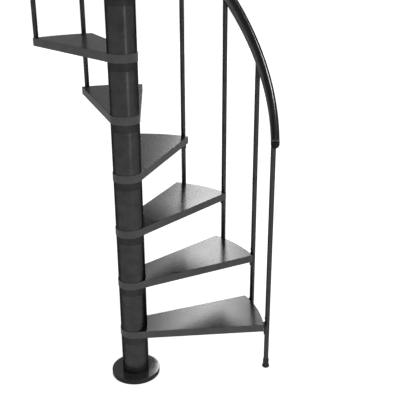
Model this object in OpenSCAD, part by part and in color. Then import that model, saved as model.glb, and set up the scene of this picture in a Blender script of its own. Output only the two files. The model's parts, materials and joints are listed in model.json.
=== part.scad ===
// Spiral staircase kit in black steel: one storey of sector treads around a
// column of spacer tubes, with slim balusters and a helical handrail.
// Millimetres. The column stands on Z, the floor is Z = 0, and the first
// baluster stands on +X. The flight climbs counter-clockwise seen from above.

/* [Flight] */
// height of one step, floor to first tread and tread to tread
riser = 235; // [205:1:290]
// turn of each tread past the one below, in degrees
tread_turn = 22; // [18:0.5:26.5]
// number of ordinary treads below the landing
tread_count = 11; // [11:1:11]
// pitches of turn that the landing spans
landing_pitches = 3; // [3:1:3]

/* [Column] */
// outside diameter of the spacer tubes
tube_diameter = 114.5; // [100:0.5:140]
// wall of the spacer tubes
tube_wall = 3; // [2:0.5:5]
// outside diameter of the inner steel pole
pole_diameter = 76.1; // [60:0.1:92]
// wall of the inner steel pole
pole_wall = 3.2; // [2:0.1:6]
// gap between the pole and what slides on it
pole_clearance = 0.5; // [0.3:0.1:1.5]
// height of each levelling ring
ring_height = 30.5; // [20:0.5:45]
// how far the tread hub stands proud of the tube, on the radius
hub_proud = 2; // [1:0.1:5]
// height of the cap over the column
cap_height = 14; // [8:1:30]

/* [Base] */
// diameter of the round base plate
base_diameter = 209; // [170:1:300]
// thickness of the round base plate
base_thickness = 22; // [12:1:32]
// break of the upper edge of the base plate
base_chamfer = 1; // [0.5:0.5:4]

/* [Treads] */
// radius of the outer edge of the treads
tread_radius = 564; // [450:1:720]
// height of the folded edge all round the tread
tread_depth = 33.5; // [25:0.5:50]
// thickness of the folded tread sheet
tread_sheet = 3; // [2:0.5:5]
// how far the front corner reaches ahead of its baluster, in degrees
front_reach = 3.35; // [2.5:0.05:6]
// how far the rear corner reaches past the next baluster, in degrees
rear_reach = 3; // [2.5:0.05:6]

/* [Balusters] */
// diameter of the balusters
baluster_diameter = 21; // [14:0.5:30]
// gap between the tread edge and a baluster
baluster_standoff = 8.5; // [6:0.5:20]
// how far a baluster reaches below the tread that it lands beside
baluster_tail = 4; // [2:0.5:20]
// length of the rubber foot under the first baluster
foot_height = 42; // [30:1:60]
// largest diameter of the rubber foot
foot_diameter = 32; // [32:0.5:44]

/* [Clamps] */
// wall of the saddle that grips the inner side of a baluster
clamp_wall = 4; // [1.5:0.5:5]
// width of the clamp web that reaches the tread
clamp_web = 16; // [8:0.5:20]
// how far the saddle at a front corner reaches below the tread
clamp_drop = 32; // [16:1:60]
// How far the clamp's top sits below the tread's top
clamp_set_down = 8; // [0.5:0.5:12]
// diameter of the screw heads on the saddles and balusters
screw_diameter = 8; // [6:0.5:12]
// how far the screw heads stand proud
screw_proud = 1.5; // [1:0.5:3]
// height of the upper screw head above the tread
screw_height = 15; // [10:1:30]

/* [Handrail] */
// height of the handrail centre above each tread, at its baluster
rail_height = 888; // [800:1:1100]
// width of the handrail across
rail_width = 35; // [30:1:60]
// depth of the handrail, top to underside
rail_depth = 54; // [36:1:70]
// how far the handrail runs on below the first baluster, in treads
rail_lead = 0.27; // [0.2:0.01:0.6]
// length of the rounded caps on the handrail ends
rail_cap = 9; // [6:1:20]

/* [Landing fixing] */
// length of the plate that fixes the landing to the upper floor
flange_length = 420; // [300:1:480]
// height of the fixing plate
flange_height = 120; // [100:1:180]
// thickness of the fixing plate
flange_thickness = 8; // [5:0.5:15]
// diameter of the bolt holes in the fixing plate
flange_hole = 13; // [9:0.5:18]
// diameter of the circle that each group of four bolt holes lies on
flange_pcd = 90; // [70:1:110]

/* [Hidden] */
tube_r = tube_diameter / 2;
hub_r = tube_r + hub_proud;
pole_r = pole_diameter / 2;
bore_r = pole_r + pole_clearance;
bal_r = baluster_diameter / 2;
bal_circle = tread_radius + baluster_standoff + bal_r;
levels = tread_count + 1;
landing_z = levels * riser;
landing_turn = landing_pitches * tread_turn;
edge_tuck = 0.6;
edge_r = hub_r - edge_tuck;
lean = asin(edge_r / tread_radius);
rail_r = bal_circle;
rail_top_bend = 0.5;
clamp_r = bal_r + clamp_wall;
pole_top = landing_z + cap_height - 6;

// Plan of a sector plate whose straight edges run on from the hub's sides.
// span is the angle from its first baluster to its last, w is an inset.
module sector(span, w) {
  phi_f = lean - front_reach;
  phi_r = span + rear_reach - lean;
  r = edge_r - w;
  far = tread_radius * 1.5;
  pf = [r * sin(phi_f), -r * cos(phi_f)];
  pr = [-r * sin(phi_r), r * cos(phi_r)];
  mid = (phi_f + phi_r) / 2;
  intersection() {
    polygon([[0, 0], pf, pf + far * [cos(phi_f), sin(phi_f)],
      2 * far * [cos(mid), sin(mid)],
      pr + far * [cos(phi_r), sin(phi_r)], pr]);
    circle(r = tread_radius - w, $fn = 180);
  }
}

// Folded steel plate with its hub ring. The top face is at Z = 0.
module plate(span) {
  translate([0, 0, -tread_depth]) difference() {
    linear_extrude(tread_depth) difference() {
      union() {
        sector(span, 0);
        circle(r = hub_r, $fn = 96);
      }
      circle(r = bore_r, $fn = 96);
    }
    translate([0, 0, -1]) linear_extrude(tread_depth + 1 - tread_sheet)
      difference() {
        sector(span, tread_sheet);
        circle(r = hub_r, $fn = 96);
      }
  }
}

module base_plate() {
  color("#1c1c1d") rotate_extrude($fn = 120)
    polygon([[0, 0], [base_diameter / 2, 0],
      [base_diameter / 2, base_thickness - base_chamfer],
      [base_diameter / 2 - base_chamfer, base_thickness],
      [0, base_thickness]]);
}

module tube(r_out, r_in, z0, h) {
  translate([0, 0, z0]) difference() {
    cylinder(r = r_out, h = h, $fn = 96);
    translate([0, 0, -1]) cylinder(r = r_in, h = h + 2, $fn = 96);
  }
}

module center_pole() {
  color("#3a3b3d")
    tube(pole_r, pole_r - pole_wall, base_thickness, pole_top - base_thickness);
}

module spacer_tubes() {
  color("#202124") {
    z0 = base_thickness + ring_height;
    tube(tube_r, tube_r - tube_wall, z0,
      riser - tread_depth - ring_height - z0);
    for (i = [1 : levels - 1])
      tube(tube_r, tube_r - tube_wall, i * riser,
        riser - tread_depth - ring_height);
  }
}

module levelling_rings() {
  color("#151516") {
    tube(tube_r, bore_r, base_thickness, ring_height);
    for (i = [1 : levels])
      tube(tube_r, bore_r, i * riser - tread_depth - ring_height, ring_height);
  }
}

module tread(i) {
  color("#26272a") translate([0, 0, i * riser])
    rotate([0, 0, (i - 1) * tread_turn]) plate(tread_turn);
}

module landing() {
  color("#26272a") translate([0, 0, landing_z])
    rotate([0, 0, (levels - 1) * tread_turn]) plate(landing_turn);
}

// Centre of the handrail at pitch t, counted from the first baluster. It
// bends from the slope of the flight to level over the landing.
bend_from = levels - 1 - rail_top_bend;
bend_to = levels - 1 + rail_top_bend;
function rail_z(t) = riser + rail_height + riser * (t < bend_from ? t :
  t < bend_to ? t - pow(t - bend_from, 2) / (4 * rail_top_bend) :
  levels - 1);
function rail_slope(t) = t < bend_from ? 1 : t < bend_to ?
  1 - (t - bend_from) / (2 * rail_top_bend) : 0;
function rail_angle(t) =
  atan(rail_slope(t) * riser / (rail_r * tread_turn * PI / 180));
function rail_under(t) = rail_z(t) - rail_depth / 2 / cos(rail_angle(t));

// Baluster at pitch t from z0 up to the handrail, cut to its slope.
module bar(t, z0) {
  rotate([0, 0, t * tread_turn]) translate([bal_circle, 0, 0])
    difference() {
      translate([0, 0, z0])
        cylinder(r = bal_r, h = rail_under(t) + 2 * bal_r - z0, $fn = 32);
      translate([0, 0, rail_under(t) - 0.5]) rotate([rail_angle(t), 0, 0])
        translate([-2 * bal_r, -4 * bal_r, 0])
        cube([4 * bal_r, 8 * bal_r, 6 * bal_r]);
    }
}

module baluster(i) {
  color("#1f2022") bar(i - 1, i == 1 ? foot_height * 0.4 :
    (i - 1) * riser - tread_depth - baluster_tail);
}

module landing_balusters() {
  color("#1f2022") for (k = [1 : landing_pitches])
    bar(levels - 1 + k, landing_z - tread_depth - baluster_tail);
}

module baluster_foot() {
  r = foot_diameter / 2;
  b = bal_r;
  color("#141415") translate([bal_circle, 0, 0]) rotate_extrude($fn = 48)
    polygon([[0, 0], [r * 0.86, 0], [r, foot_height * 0.06],
      [r, foot_height * 0.2], [b + 2.5, foot_height * 0.31],
      [b + 2.5, foot_height * 0.94],
      [b + 1.5, foot_height], [b, foot_height], [b, foot_height * 0.4],
      [0, foot_height * 0.4]]);
}

// Saddle that carries a baluster at pitch t beside a plate whose top is at z.
// Its web fills the gap to the plate's edge, and its wall grips the inner
// half of the bar down to drop below the plate.
module clamp(t, z, drop) {
  h = tread_depth - clamp_set_down;
  rotate([0, 0, t * tread_turn]) translate([0, 0, z - tread_depth])
    difference() {
      union() {
        linear_extrude(h) difference() {
          translate([tread_radius - 10, -clamp_web / 2])
            square([baluster_standoff + bal_r + 10, clamp_web]);
          circle(r = tread_radius, $fn = 180);
        }
        translate([0, 0, -drop]) linear_extrude(h + drop) intersection() {
          translate([bal_circle, 0]) circle(r = clamp_r, $fn = 40);
          translate([bal_circle - 2 * clamp_r, -clamp_r])
            square([2 * clamp_r, 2 * clamp_r]);
        }
      }
      translate([bal_circle, 0, -drop - 1])
        cylinder(r = bal_r, h = h + drop + 2, $fn = 32);
    }
}

module baluster_clamps() {
  color("#26272a") {
    for (i = [1 : levels]) clamp(i - 1, i * riser, clamp_drop);
    for (i = [1 : levels - 1]) clamp(i, i * riser, 0);
    for (k = [1 : landing_pitches]) clamp(levels - 1 + k, landing_z, 0);
  }
}

// Screw head on the inner side of the round of radius r about the baluster
// at pitch t, at height z.
module screw(t, z, r) {
  rotate([0, 0, t * tread_turn]) difference() {
    translate([bal_circle - r - screw_proud, 0, z]) rotate([0, 90, 0])
      cylinder(r = screw_diameter / 2, h = screw_proud + 2, $fn = 20);
    translate([bal_circle, 0, z - screw_diameter])
      cylinder(r = r, h = 2 * screw_diameter, $fn = r > bal_r ? 40 : 32);
  }
}

module clamp_screws() {
  color("#151516") for (i = [1 : levels]) {
    screw(i - 1, i * riser + screw_height, bal_r);
    screw(i - 1, i * riser - tread_depth - clamp_drop / 2, clamp_r);
  }
}

// Handrail section: a rounded oval. Point k at pitch t, with the section
// scaled by f and moved a distance d up along the rail.
section_steps = 20;
function bulge(c) = sign(c) * pow(abs(c), 0.85);
function rail_point(t, k, f = 1, d = 0) = let (u = 360 * k / section_steps,
  x = f * rail_width / 2 * bulge(cos(u)),
  y = f * rail_depth / 2 * bulge(sin(u)),
  s = rail_angle(t), a = t * tread_turn, rr = rail_r + x)
  [rr * cos(a) + y * sin(s) * sin(a) - d * cos(s) * sin(a),
   rr * sin(a) - y * sin(s) * cos(a) + d * cos(s) * cos(a),
   rail_z(t) + y * cos(s) + d * sin(s)];
rail_from = -rail_lead;
rail_to = levels - 1 + landing_pitches + rail_lead;
rail_steps = 90;
function rail_t(j) = rail_from + (rail_to - rail_from) * j / rail_steps;

// Closed skin over rings of section points, lowest ring first.
module skin(points, rings) {
  n = section_steps;
  sides = [for (j = [0 : rings - 2]) for (k = [0 : n - 1]) each [
    [j * n + k, j * n + (k + 1) % n, (j + 1) * n + k],
    [j * n + (k + 1) % n, (j + 1) * n + (k + 1) % n, (j + 1) * n + k]]];
  first = [for (k = [0 : n - 1]) n - 1 - k];
  last = [for (k = [0 : n - 1]) (rings - 1) * n + k];
  polyhedron(points, concat([first], sides, [last]));
}

module handrail() {
  color("#17181a") skin([for (j = [0 : rail_steps])
    for (k = [0 : section_steps - 1]) rail_point(rail_t(j), k)],
    rail_steps + 1);
}

// Rounded cap on a rail end at pitch t, to the side way (-1 down, 1 up).
module rail_end(t, way) {
  shape = [[0, 0.97], [0.45, 0.95], [0.8, 0.84], [1, 0.66]];
  order = way > 0 ? [0, 1, 2, 3] : [3, 2, 1, 0];
  skin([for (j = order) for (k = [0 : section_steps - 1])
    rail_point(t, k, shape[j][1], way * rail_cap * shape[j][0])], 4);
}

module handrail_ends() {
  color("#101011") {
    rail_end(rail_from, -1);
    rail_end(rail_to, 1);
  }
}

module column_cap() {
  color("#17181a") translate([0, 0, landing_z]) difference() {
    rotate_extrude($fn = 96) polygon([[0, 0], [tube_r, 0],
      [tube_r, cap_height * 0.6], [tube_r - 4, cap_height],
      [0, cap_height]]);
    translate([0, 0, -1]) cylinder(r = bore_r, h = cap_height - 6 + 1,
      $fn = 96);
  }
}

// Plate on the last edge of the landing, with its bolt holes.
module landing_flange() {
  phi = landing_turn + rear_reach - lean;
  color("#26272a") translate([0, 0, landing_z])
    rotate([0, 0, (levels - 1) * tread_turn + phi])
    translate([tread_radius / 2 - flange_length / 2 + 30, edge_r,
      -flange_height])
    difference() {
      cube([flange_length, flange_thickness, flange_height]);
      for (x = [flange_height / 2, flange_length - flange_height / 2])
        for (a = [45 : 90 : 315])
          translate([x + flange_pcd / 2 * cos(a), -1,
            flange_height / 2 - tread_depth / 2 + flange_pcd / 2 * sin(a)])
          rotate([-90, 0, 0])
          cylinder(r = flange_hole / 2, h = flange_thickness + 2, $fn = 32);
    }
}

base_plate();
center_pole();
spacer_tubes();
levelling_rings();
tread(1);  // tread_01
tread(2);  // tread_02
tread(3);  // tread_03
tread(4);  // tread_04
tread(5);  // tread_05
tread(6);  // tread_06
tread(7);  // tread_07
tread(8);  // tread_08
tread(9);  // tread_09
tread(10);  // tread_10
tread(11);  // tread_11
landing();
baluster(1);  // baluster_01
baluster(2);  // baluster_02
baluster(3);  // baluster_03
baluster(4);  // baluster_04
baluster(5);  // baluster_05
baluster(6);  // baluster_06
baluster(7);  // baluster_07
baluster(8);  // baluster_08
baluster(9);  // baluster_09
baluster(10);  // baluster_10
baluster(11);  // baluster_11
baluster(12);  // baluster_12
landing_balusters();
baluster_foot();
baluster_clamps();
clamp_screws();
handrail();
handrail_ends();
column_cap();
landing_flange();
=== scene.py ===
"""Looks for the black steel spiral staircase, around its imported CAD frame.

Every CAD node keeps its place. The nodes that show are replaced by copies
with softened edges or by smoother skins, one piece for each node.
"""
import json
import math

import bmesh
import bpy
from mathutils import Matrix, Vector


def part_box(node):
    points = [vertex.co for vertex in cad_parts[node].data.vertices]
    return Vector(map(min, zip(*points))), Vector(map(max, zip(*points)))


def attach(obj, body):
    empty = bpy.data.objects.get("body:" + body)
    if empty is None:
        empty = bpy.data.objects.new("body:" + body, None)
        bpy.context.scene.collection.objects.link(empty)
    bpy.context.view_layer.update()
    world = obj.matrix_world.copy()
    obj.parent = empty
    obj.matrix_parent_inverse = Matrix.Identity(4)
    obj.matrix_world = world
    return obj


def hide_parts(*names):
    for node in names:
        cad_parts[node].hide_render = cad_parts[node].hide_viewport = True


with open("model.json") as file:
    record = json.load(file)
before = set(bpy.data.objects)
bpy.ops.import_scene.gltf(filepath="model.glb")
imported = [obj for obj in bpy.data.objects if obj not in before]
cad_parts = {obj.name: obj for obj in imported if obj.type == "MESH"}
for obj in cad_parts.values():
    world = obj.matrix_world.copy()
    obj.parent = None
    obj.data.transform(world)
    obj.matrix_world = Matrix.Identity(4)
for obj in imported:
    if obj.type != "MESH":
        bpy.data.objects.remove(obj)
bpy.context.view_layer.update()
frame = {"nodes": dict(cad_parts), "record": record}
record = frame["record"]
scene = bpy.context.scene

# ---------------------------------------------------------------- camera
FRAME_PX = 415            # the image is square
FOCAL_PX = 696.1          # focal length in the same unit
SENSOR_MM = 36.0
CAMERA_AT = (0.1627, -2.6452, 1.8257)
CAMERA_YAW = 3.396        # degrees, clockwise from +Y seen from above
CAMERA_PITCH = 21.576     # degrees below the horizon


def make_camera():
    data = bpy.data.cameras.new("camera")
    data.sensor_width = SENSOR_MM
    data.lens = FOCAL_PX / FRAME_PX * SENSOR_MM
    data.clip_start, data.clip_end = 0.05, 200.0
    cam = bpy.data.objects.new("camera", data)
    scene.collection.objects.link(cam)
    cam.location = CAMERA_AT
    cam.rotation_euler = (math.radians(90 - CAMERA_PITCH), 0,
                          -math.radians(CAMERA_YAW))
    scene.camera = cam


# ---------------------------------------------------------------- materials
class Nodes:
    """Small helper that adds and links shader nodes."""

    def __init__(self, name):
        self.mat = bpy.data.materials.new(name)
        self.mat.use_nodes = True
        self.tree = self.mat.node_tree
        self.shader = self.tree.nodes["Principled BSDF"]
        self.coords = self.tree.nodes.new("ShaderNodeTexCoord")

    def add(self, kind, **values):
        node = self.tree.nodes.new(kind)
        for key, value in values.items():
            setattr(node, key, value)
        return node

    def link(self, a, b):
        self.tree.links.new(a, b)

    def stretch(self, scale):
        m = self.add("ShaderNodeMapping")
        m.inputs["Scale"].default_value = scale
        self.link(self.coords.outputs["Object"], m.inputs["Vector"])
        return m.outputs["Vector"]

    def noise(self, scale, detail=4.0, rough=0.5, vector=None):
        n = self.add("ShaderNodeTexNoise")
        n.inputs["Scale"].default_value = scale
        n.inputs["Detail"].default_value = detail
        n.inputs["Roughness"].default_value = rough
        self.link(vector or self.coords.outputs["Object"],
                  n.inputs["Vector"])
        return n.outputs["Fac"]

    def spread(self, fac, low, high, start=0.3, end=0.7):
        r = self.add("ShaderNodeMapRange")
        r.inputs["From Min"].default_value = start
        r.inputs["From Max"].default_value = end
        r.inputs["To Min"].default_value = low
        r.inputs["To Max"].default_value = high
        self.link(fac, r.inputs["Value"])
        return r.outputs["Result"]

    def blend(self, fac, dark, light):
        m = self.add("ShaderNodeMix", data_type="RGBA")
        m.inputs["A"].default_value = (*dark, 1)
        m.inputs["B"].default_value = (*light, 1)
        self.link(fac, m.inputs["Factor"])
        return m.outputs["Result"]

    def bump(self, height, strength, distance, after=None):
        b = self.add("ShaderNodeBump")
        b.inputs["Strength"].default_value = strength
        b.inputs["Distance"].default_value = distance
        self.link(height, b.inputs["Height"])
        if after:
            self.link(after, b.inputs["Normal"])
        return b.outputs["Normal"]


def scaled(color, k):
    return tuple(min(1.0, c * k) for c in color)


def coat(name, color, rough, ior, peel=900.0, peel_height=0.00002,
         wave=0.0004, smudge=0.05, grain=0.25, side=None, metal=0.0, painted_edge_shade=1.0):
    """Sprayed or moulded black finish with orange peel, waves and smudges.

    side is the colour, roughness and IOR of the faces that don't look up.
    metal gives a dark metallic lacquer; its edge tint darkens the reflection
    at grazing angles, painted shade that keeps the silhouettes dark in place
    of dark surroundings.
    """
    n = Nodes(name)
    s = n.shader
    s.inputs["IOR"].default_value = ior
    s.inputs["Metallic"].default_value = metal
    # Specular Tint darkens the grazing reflection: painted shade along the
    # silhouettes.
    s.inputs["Specular Tint"].default_value = (painted_edge_shade, painted_edge_shade, painted_edge_shade, 1)
    smudges = n.noise(7.0, 5.0, 0.62)
    fine = n.noise(160.0, 3.0, 0.6)
    mix = n.add("ShaderNodeMath", operation="MULTIPLY_ADD")
    n.link(fine, mix.inputs[0])
    mix.inputs[1].default_value = grain
    n.link(smudges, mix.inputs[2])
    shifted = n.spread(mix.outputs["Value"], rough - smudge, rough + smudge,
                       0.36 + grain * 0.5, 0.66 + grain * 0.5)
    patches = n.spread(n.noise(24.0, 6.0, 0.6), 0.0, 1.0)
    tone = n.blend(patches, scaled(color, 0.82), scaled(color, 1.2))
    if side:
        split = n.add("ShaderNodeSeparateXYZ")
        n.link(n.coords.outputs["Normal"], split.inputs[0])
        up = n.spread(split.outputs["Z"], 0.0, 1.0, 0.6, 0.98)
        dull = n.blend(patches, scaled(side[0], 0.88), scaled(side[0], 1.12))
        both = n.add("ShaderNodeMix", data_type="RGBA")
        n.link(up, both.inputs["Factor"])
        n.link(dull, both.inputs["A"])
        n.link(tone, both.inputs["B"])
        tone = both.outputs["Result"]
        rougher = n.add("ShaderNodeMix", data_type="FLOAT")
        n.link(up, rougher.inputs["Factor"])
        n.link(n.spread(smudges, side[1] - smudge, side[1] + smudge),
               rougher.inputs["A"])
        n.link(shifted, rougher.inputs["B"])
        shifted = rougher.outputs["Result"]
        n.link(n.spread(up, side[2], ior, 0.0, 1.0), s.inputs["IOR"])
    n.link(shifted, s.inputs["Roughness"])
    n.link(tone, s.inputs["Base Color"])
    wide = n.bump(n.noise(5.0, 1.0, 0.4), 1.0, wave)
    n.link(n.bump(n.noise(peel, 2.0, 0.5), 1.0, peel_height, wide),
           s.inputs["Normal"])
    return n.mat


def bare_steel(name, color, rough):
    """Drawn steel with fine rings and light scale."""
    n = Nodes(name)
    s = n.shader
    s.inputs["Metallic"].default_value = 1.0
    lines = n.noise(40.0, 4.0, 0.6, n.stretch((1.0, 1.0, 30.0)))
    n.link(n.spread(lines, rough - 0.08, rough + 0.1), s.inputs["Roughness"])
    n.link(n.blend(n.spread(n.noise(18.0, 5.0), 0.0, 1.0),
                   scaled(color, 0.75), scaled(color, 1.1)),
           s.inputs["Base Color"])
    n.link(n.bump(lines, 0.4, 0.00005), s.inputs["Normal"])
    return n.mat


LOOKS = {
    "tread_coat": coat("tread_coat", (0.017, 0.0172, 0.018), 0.26, 1.5,
                       peel=260.0, peel_height=0.0000001, wave=0.00001,
                       smudge=0.008, grain=0.0,
                       side=((0.082, 0.0825, 0.083), 0.6, 1.2)),
    "base_coat": coat("base_coat", (0.055, 0.055, 0.0555), 0.07, 1.9,
                      peel=500.0, peel_height=0.000003, wave=0.0001,
                      smudge=0.03, side=((0.03, 0.03, 0.0305), 0.4, 1.1)),
    "pole_steel": bare_steel("pole_steel", (0.42, 0.43, 0.44), 0.36),
    "tube_coat": coat("tube_coat", (0.041, 0.0413, 0.042), 0.27, 1.22,
                      metal=0.9, painted_edge_shade=0.25,
                      peel=800.0, peel_height=0.000002, wave=0.0001,
                      smudge=0.05),
    "ring_plastic": coat("ring_plastic", (0.038, 0.038, 0.0385), 0.5, 1.15,
                         metal=0.7, painted_edge_shade=0.2,
                         peel=1500.0, peel_height=0.00005, wave=0.0001,
                         smudge=0.06),
    "baluster_coat": coat("baluster_coat", (0.043, 0.0433, 0.044), 0.3,
                          1.2, metal=0.9, painted_edge_shade=0.2,
                          peel=900.0, peel_height=0.000002, wave=0.0001,
                          smudge=0.06),
    "foot_rubber": coat("foot_rubber", (0.045, 0.045, 0.045), 0.5, 1.2,
                        metal=0.7, painted_edge_shade=0.2,
                        peel=1600.0, peel_height=0.00006, wave=0.0001,
                        smudge=0.08),
    "screw_steel": coat("screw_steel", (0.008, 0.008, 0.0085), 0.4, 1.45,
                       peel=1200.0, peel_height=0.00003, wave=0.0001,
                       smudge=0.08),
    "rail_coat": coat("rail_coat", (0.085, 0.085, 0.086), 0.14, 1.3,
                      metal=0.75, painted_edge_shade=0.3,
                      peel=900.0, peel_height=0.000002, wave=0.00005,
                      smudge=0.03),
    "cap_plastic": coat("cap_plastic", (0.016, 0.016, 0.0165), 0.36, 1.2,
                        metal=0.6, painted_edge_shade=0.2,
                        peel=1400.0, peel_height=0.00004, wave=0.0001,
                        smudge=0.06),
}
slots = {s["node"]: s["material_slot"] for s in record["subparts"]}


def dress(obj, node):
    """Replaces a CAD node by obj, in the node's own slot, under the root body.
    """
    obj.data.materials.clear()
    obj.data.materials.append(LOOKS[slots[node]])
    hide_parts(node)
    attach(obj, "root")
    return obj


# ---------------------------------------------------------------- pieces
SHARP = math.radians(28)      # edges that get rounded over
CREASE = math.radians(35)     # edges that stay sharp in the shading
WELD = 0.00001


def link_mesh(name, bm, matrix=None):
    mesh = bpy.data.meshes.new(name)
    bm.to_mesh(mesh)
    bm.free()
    obj = bpy.data.objects.new(name, mesh)
    scene.collection.objects.link(obj)
    if matrix is not None:
        obj.matrix_world = matrix.copy()
    return obj


def mark_smooth(bm, limit):
    for f in bm.faces:
        f.smooth = True
    for e in bm.edges:
        if len(e.link_faces) != 2 or e.calc_face_angle(0.0) > limit:
            e.smooth = False


def softened(node, width, segments=3):
    """Copy of a CAD node with its sharp edges rounded over."""
    source = frame["nodes"][node]
    bm = bmesh.new()
    bm.from_mesh(source.data)
    bmesh.ops.remove_doubles(bm, verts=bm.verts, dist=WELD)
    bmesh.ops.dissolve_limit(bm, angle_limit=math.radians(0.6),
                             use_dissolve_boundaries=False,
                             verts=bm.verts, edges=bm.edges)
    if width > 0:
        sharp = [e for e in bm.edges if len(e.link_faces) == 2
                 and e.calc_face_angle(0.0) > SHARP]
        bmesh.ops.bevel(bm, geom=sharp, offset=width, segments=segments,
                        profile=0.5, affect="EDGES", clamp_overlap=True,
                        offset_type="OFFSET", harden_normals=False)
    mark_smooth(bm, CREASE)
    obj = link_mesh(node + "_look", bm, source.matrix_world)
    flat = obj.modifiers.new("flat_faces", "WEIGHTED_NORMAL")
    flat.keep_sharp = True
    return dress(obj, node)


TREADS = sum(n.startswith("tread_") for n in frame["nodes"])
RISER = ((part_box("tread_%02d" % TREADS)[1][2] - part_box("tread_01")[1][2])
         / (TREADS - 1))
TURN = math.radians(22)
LANDING_PITCHES = 3
RAIL_LEAD = 0.27
RAIL_WIDE, RAIL_DEEP = 0.035, 0.054
RAIL_FROM, RAIL_TO = -RAIL_LEAD, TREADS + LANDING_PITCHES + RAIL_LEAD
RAIL_SIDES, RAIL_STEPS = 48, 420
SKIN_GAP = 0.0001             # the rail's skin stays this far inside the CAD
CAP_LONG, CAP_STEPS = 0.009, 8
CAP_INSET, CAP_ROUND = 0.0006, 0.0075
RAIL_OUT = -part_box("handrail")[0][0]
RAIL_R = RAIL_OUT - RAIL_WIDE / 2
RAIL_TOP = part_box("handrail")[1][2] - RAIL_DEEP / 2
RAIL_UP = RAIL_TOP - (TREADS + 1) * RISER


def rail_height(t):
    """Height and slope share of the rail's centre at pitch t."""
    start, end = TREADS - 0.5, TREADS + 0.5
    if t < start:
        rise, share = t, 1.0
    elif t < end:
        rise, share = t - (t - start) ** 2 / 2, 1 - (t - start)
    else:
        rise, share = float(TREADS), 0.0
    return RISER + RAIL_UP + RISER * rise, share


def bulge(c):
    return math.copysign(abs(c) ** 0.85, c)


def rail_ring(t, shrink=0.0, out=0.0):
    """Section of the rail at pitch t, moved a distance out along it."""
    z, share = rail_height(t)
    slope = math.atan2(share * RISER, RAIL_R * TURN)
    a = t * TURN
    ring = []
    for k in range(RAIL_SIDES):
        u = 2 * math.pi * k / RAIL_SIDES
        x = (RAIL_WIDE / 2 - SKIN_GAP - shrink) * bulge(math.cos(u))
        y = (RAIL_DEEP / 2 - SKIN_GAP - shrink) * bulge(math.sin(u))
        r = RAIL_R + x
        ring.append(Vector((
            r * math.cos(a) + y * math.sin(slope) * math.sin(a)
            - out * math.cos(slope) * math.sin(a),
            r * math.sin(a) - y * math.sin(slope) * math.cos(a)
            + out * math.cos(slope) * math.cos(a),
            z + y * math.cos(slope) + out * math.sin(slope))))
    return ring


def add_skin(bm, rings):
    """Closed skin over a row of rings."""
    rows = [[bm.verts.new(p) for p in ring] for ring in rings]
    n = len(rows[0])
    for a, b in zip(rows, rows[1:]):
        for k in range(n):
            bm.faces.new((a[k], a[(k + 1) % n], b[(k + 1) % n], b[k]))
    bm.faces.new(list(reversed(rows[0])))
    bm.faces.new(rows[-1])


def make_handrail():
    step = (RAIL_TO - RAIL_FROM) / RAIL_STEPS
    bm = bmesh.new()
    add_skin(bm, [rail_ring(RAIL_FROM + step * j)
                  for j in range(RAIL_STEPS + 1)])
    mark_smooth(bm, CREASE)
    dress(link_mesh("handrail_look", bm), "handrail")


def cap_rings(t, way):
    """Rings of a cap that closes in along a quarter turn."""
    rings = []
    for j in range(CAP_STEPS + 1):
        u = j / CAP_STEPS * math.pi / 2
        shrink = CAP_INSET + CAP_ROUND * (1 - math.cos(u))
        out = 2 * SKIN_GAP + (CAP_LONG - 4 * SKIN_GAP) * math.sin(u)
        rings.append(rail_ring(t, shrink, way * out))
    return rings


def make_rail_caps():
    """Moulded caps, rounded over, set in the rail's open ends."""
    bm = bmesh.new()
    add_skin(bm, list(reversed(cap_rings(RAIL_FROM, -1))))
    add_skin(bm, cap_rings(RAIL_TO, 1))
    mark_smooth(bm, CREASE)
    dress(link_mesh("handrail_ends_look", bm), "handrail_ends")


SOFT_TREAD = 0.0016
SOFT = {"base_plate": 0.0012, "spacer_tubes": 0.0004,
        "levelling_rings": 0.0008, "landing": SOFT_TREAD,
        "landing_balusters": 0.0004, "baluster_foot": 0.0,
        "baluster_clamps": 0.0006, "clamp_screws": 0.0006,
        "column_cap": 0.001, "landing_flange": 0.001,
        "center_pole": 0.0004}

for name in frame["nodes"]:
    if name in ("handrail", "handrail_ends"):
        continue
    if name.startswith("tread_"):
        softened(name, SOFT_TREAD)
    elif name.startswith("baluster_") and name[9:].isdigit():
        softened(name, 0.0)
    else:
        softened(name, SOFT[name])
make_handrail()
make_rail_caps()


# ---------------------------------------------------------------- stage
FLOOR_HALF = 70.0             # far enough to fill the view to the horizon
BACKDROP_HIGH = 40.0
FLOOR_GLOW, BACKDROP_GLOW, SKY = 0.825, 1.02, 0.23

# name, place, aim, width, height and radiance of each softbox
SOFTBOXES = (
    ("back_softbox", (0.98, 10.0, 6.0), (0.4, 0.3, 0.6), 1.15, 3.8, 7.5),
    ("broad_softbox", (3.3, 10.3, 5.4), (1.35, 0.0, 0.8), 5.8, 5.0, 0.9),
    ("front_softbox", (1.7, -2.5, 1.1), (0.1, 0.0, 0.7), 0.3, 2.0, 4.0),
    ("base_softbox", (0.25, 10.0, 7.2), (0.1, 0.0, 0.0), 0.8, 1.0, 9.0),
    ("rail_softbox", (3.1, -0.5, 6.1), (0.5, 0.1, 1.6), 0.8, 0.8, 22.0),
)


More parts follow.
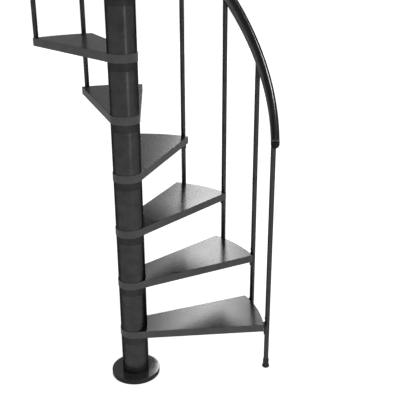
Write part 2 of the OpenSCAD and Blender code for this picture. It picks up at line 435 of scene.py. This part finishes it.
def make_floor():
    mesh = bpy.data.meshes.new("floor")
    r = FLOOR_HALF
    mesh.from_pydata([(-r, -r, 0), (r, -r, 0), (r, r, 0), (-r, r, 0)], [],
                     [(0, 1, 2, 3)])
    o = bpy.data.objects.new("floor", mesh)
    scene.collection.objects.link(o)
    n = Nodes("floor_sheet")
    n.shader.inputs["Roughness"].default_value = 0.9
    n.shader.inputs["Emission Color"].default_value = (1, 1, 1, 1)
    n.shader.inputs["Emission Strength"].default_value = FLOOR_GLOW
    n.link(n.blend(n.spread(n.noise(3.0, 3.0), 0.0, 1.0), (0.88, 0.88, 0.88),
                   (0.9, 0.9, 0.9)), n.shader.inputs["Base Color"])
    o.data.materials.append(n.mat)


def make_backdrop():
    """Pale wall far behind the floor, seen by the camera alone."""
    r = FLOOR_HALF - 1.0
    bm = bmesh.new()
    bmesh.ops.create_cone(bm, cap_ends=False, segments=96, radius1=r,
                          radius2=r, depth=BACKDROP_HIGH)
    bmesh.ops.translate(bm, verts=bm.verts,
                        vec=(0, 0, BACKDROP_HIGH / 2 - 0.5))
    o = link_mesh("backdrop", bm)
    n = Nodes("backdrop_sheet")
    n.shader.inputs["Emission Color"].default_value = (1, 1, 1, 1)
    n.shader.inputs["Emission Strength"].default_value = BACKDROP_GLOW
    n.shader.inputs["Roughness"].default_value = 0.9
    n.link(n.blend(n.spread(n.noise(3.0, 3.0), 0.0, 1.0), (0.03, 0.03, 0.03),
                   (0.04, 0.04, 0.04)), n.shader.inputs["Base Color"])
    o.data.materials.append(n.mat)
    o.visible_diffuse = o.visible_glossy = o.visible_shadow = False


def softbox(name, at, to, wide, high, radiance):
    d = bpy.data.lights.new(name, "AREA")
    d.shape = "RECTANGLE"
    d.size, d.size_y = wide, high
    d.energy = radiance * math.pi * wide * high
    o = bpy.data.objects.new(name, d)
    scene.collection.objects.link(o)
    o.location = at
    o.rotation_euler = (Vector(to) - Vector(at)).to_track_quat(
        "-Z", "Y").to_euler()
    o.visible_camera = False


def make_light():
    w = bpy.data.worlds.new("studio")
    scene.world = w
    w.use_nodes = True
    bg = w.node_tree.nodes["Background"]
    bg.inputs["Color"].default_value = (1, 1, 1, 1)
    bg.inputs["Strength"].default_value = SKY
    for box in SOFTBOXES:
        softbox(*box)


make_camera()
make_floor()
make_backdrop()
make_light()
scene.view_settings.view_transform = "Standard"
